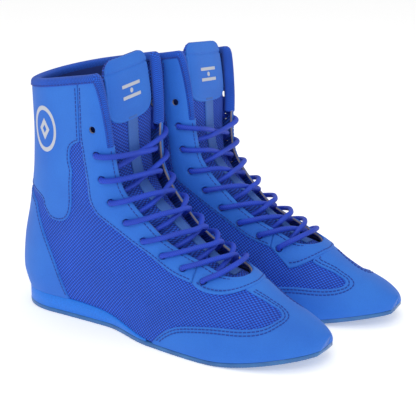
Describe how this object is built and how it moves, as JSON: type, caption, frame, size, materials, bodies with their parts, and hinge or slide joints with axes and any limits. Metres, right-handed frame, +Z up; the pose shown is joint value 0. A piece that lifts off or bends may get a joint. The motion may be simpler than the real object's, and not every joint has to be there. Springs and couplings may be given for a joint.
{
  "type": "boxing boots",
  "caption": "Pair of high lace-up boxing boots with mesh sides, smooth overlays, padded collar, hinged tongue, heel wedge and thin rubber sole.",
  "frame": {"origin": "on the floor, under the middle of the box of the pair", "axes": "+Z up, toes toward -Y, the wearer's right boot on the -X side"},
  "size_m": [0.1986, 0.297, 0.2162],
  "materials": {
    "microfibre": "matt, very fine grain",
    "air_mesh": "matt knitted air mesh",
    "knit_binding": "matt padded knit",
    "tongue_mesh": "matt ribbed mesh",
    "webbing": "woven tape",
    "lace_cord": "smooth round braid",
    "lining_cloth": "brushed knitted lining",
    "padding": "open-cell foam",
    "insole_foam": "cloth-topped foam",
    "board": "stiff non-woven board",
    "midsole_foam": "moulded EVA foam, satin",
    "outsole_rubber": "translucent rubber, satin"
  },
  "bodies": {
    "right_boot": {"right_outsole": "outsole_rubber", "right_midsole": "midsole_foam", "right_insole_board": "board", "right_insole": "insole_foam", "right_quarter_mesh_lateral": "air_mesh", "right_quarter_mesh_medial": "air_mesh", "right_lining_lateral": "lining_cloth", "right_lining_medial": "lining_cloth", "right_collar_foam_lateral": "padding", "right_collar_foam_medial": "padding", "right_heel_stiffener": "board", "right_toe_puff": "board", "right_toe_overlay": "microfibre", "right_throat_piece": "microfibre", "right_eyestay_lateral": "microfibre", "right_eyestay_medial": "microfibre", "right_collar_panel_lateral": "microfibre", "right_collar_panel_medial": "microfibre", "right_heel_counter": "microfibre", "right_collar_binding": "knit_binding", "right_tongue_lower": "tongue_mesh", "right_tongue_webbing": "webbing", "right_lace": "lace_cord"},
    "right_tongue": {"right_tongue_upper": "tongue_mesh", "right_tongue_tab": "microfibre"},
    "left_boot": {"left_outsole": "outsole_rubber", "left_midsole": "midsole_foam", "left_insole_board": "board", "left_insole": "insole_foam", "left_quarter_mesh_lateral": "air_mesh", "left_quarter_mesh_medial": "air_mesh", "left_lining_lateral": "lining_cloth", "left_lining_medial": "lining_cloth", "left_collar_foam_lateral": "padding", "left_collar_foam_medial": "padding", "left_heel_stiffener": "board", "left_toe_puff": "board", "left_toe_overlay": "microfibre", "left_throat_piece": "microfibre", "left_eyestay_lateral": "microfibre", "left_eyestay_medial": "microfibre", "left_collar_panel_lateral": "microfibre", "left_collar_panel_medial": "microfibre", "left_heel_counter": "microfibre", "left_collar_binding": "knit_binding", "left_tongue_lower": "tongue_mesh", "left_tongue_webbing": "webbing", "left_lace": "lace_cord"},
    "left_tongue": {"left_tongue_upper": "tongue_mesh", "left_tongue_tab": "microfibre"}
  },
  "joints": [
    {"name": "right_tongue_fold", "type": "hinge", "parent": "right_boot", "child": "right_tongue", "pos_m": [-0.04764, 0.04191, 0.1557], "axis": [1, 0, 0], "range_deg": [-6, 22]},
    {"name": "left_boot_lift", "type": "slide", "parent": "right_boot", "child": "left_boot", "axis": [0, 0, 1], "range_m": [0, 0.25]},
    {"name": "left_tongue_fold", "type": "hinge", "parent": "left_boot", "child": "left_tongue", "pos_m": [0.04404, 0.02897, 0.1557], "axis": [0.9994, 0.0349, 0], "range_deg": [-6, 22]}
  ]
}
